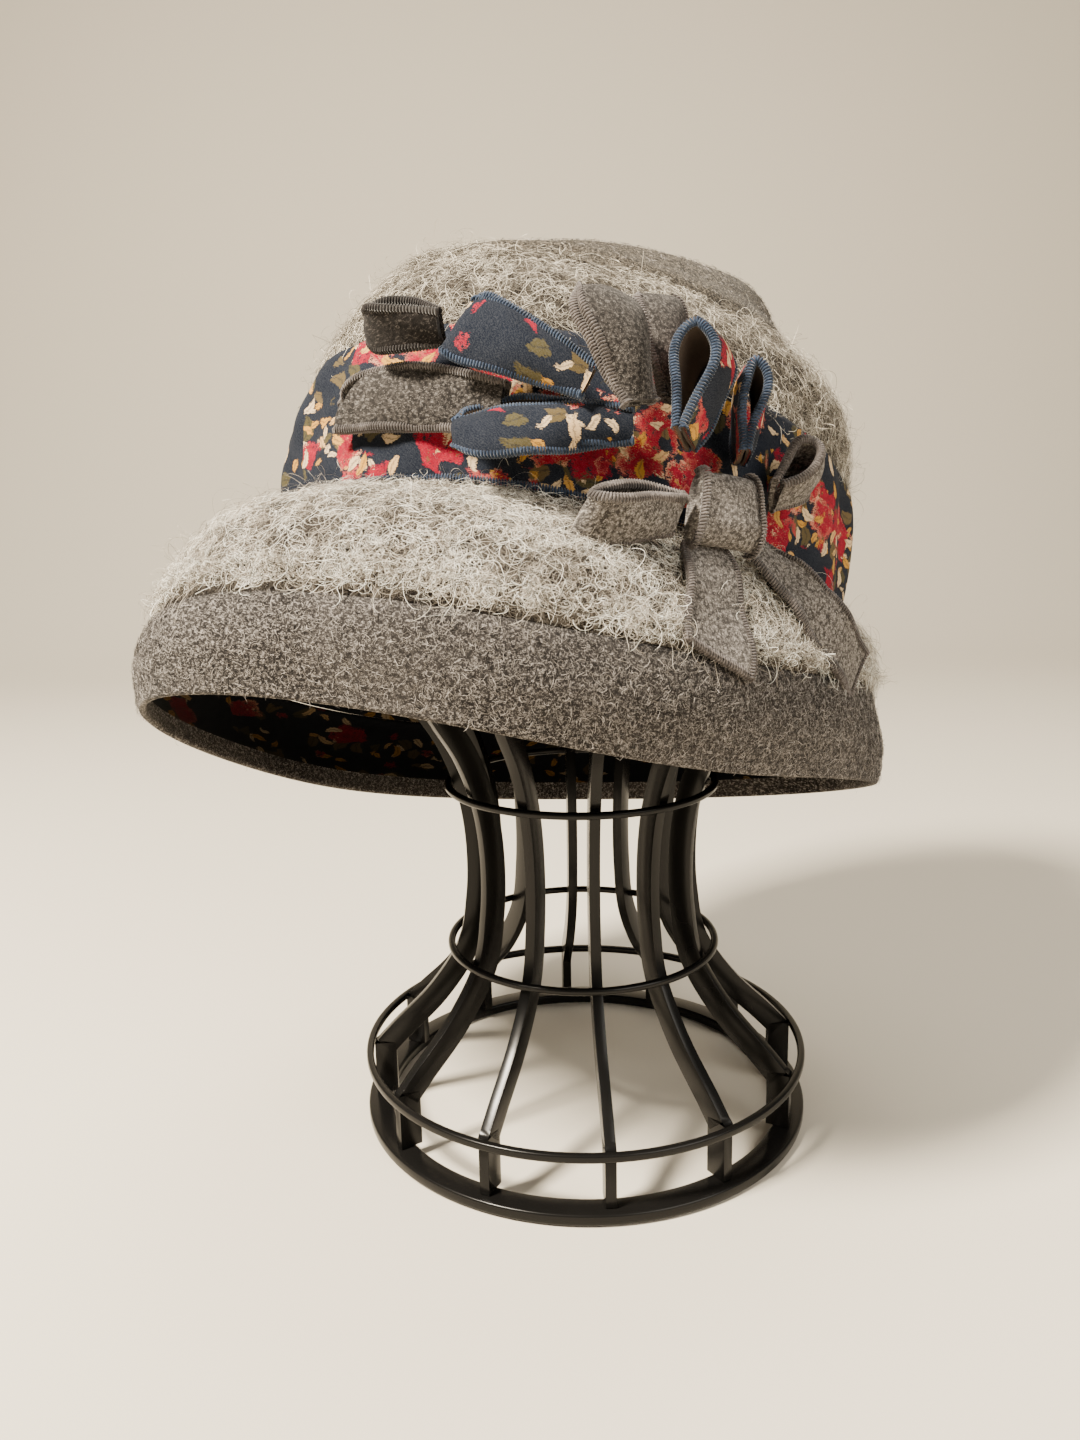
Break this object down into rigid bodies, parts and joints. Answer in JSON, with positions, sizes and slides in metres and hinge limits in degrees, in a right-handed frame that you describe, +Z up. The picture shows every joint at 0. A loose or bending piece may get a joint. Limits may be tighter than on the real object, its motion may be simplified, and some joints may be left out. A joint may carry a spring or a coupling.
{
  "type": "cloche hat on a cage hat stand",
  "caption": "Soft grey cloche hat with a down-turned brim, floral band, ribbon loops and a bow, on a black cage stand.",
  "frame": {"origin": "on the surface the stand stands on, under the middle of the whole object's box", "axes": "+Z up, the hat's front points to -Y and the wearer's left is +X"},
  "size_m": [0.2173, 0.268, 0.3127],
  "materials": {
    "mohair": "shaggy light grey mohair loops over a grey-brown cloth",
    "grey_felt": "matte melange wool felt",
    "floral_cotton": null,
    "black_plastic": "glossy black moulded plastic"
  },
  "bodies": {
    "root": {"brim_upper": "mohair", "crown_side": "mohair", "brim_edge": "grey_felt", "crown_tip": "grey_felt", "bow_knot": "grey_felt", "bow_tail_front": "grey_felt", "bow_tail_back": "grey_felt", "lining": "floral_cotton", "hat_band": "floral_cotton", "leaf_flap": "grey_felt", "floral_twist": "floral_cotton", "small_loop": "grey_felt", "tall_loop": "grey_felt", "floral_front_loop": "floral_cotton", "large_loop": "grey_felt", "floral_back_loop": "floral_cotton", "floral_upright_loop": "floral_cotton", "bow_loop_front": "grey_felt", "bow_loop_back": "grey_felt", "rib_01": "black_plastic", "rib_02": "black_plastic", "rib_03": "black_plastic", "rib_04": "black_plastic", "rib_05": "black_plastic", "rib_06": "black_plastic", "rib_07": "black_plastic", "rib_08": "black_plastic", "rib_09": "black_plastic", "rib_10": "black_plastic", "rib_11": "black_plastic", "rib_12": "black_plastic", "base_ring": "black_plastic", "base_hoop": "black_plastic", "lower_hoop": "black_plastic", "upper_hoop": "black_plastic", "top_disc": "black_plastic"}
  },
  "joints": []
}
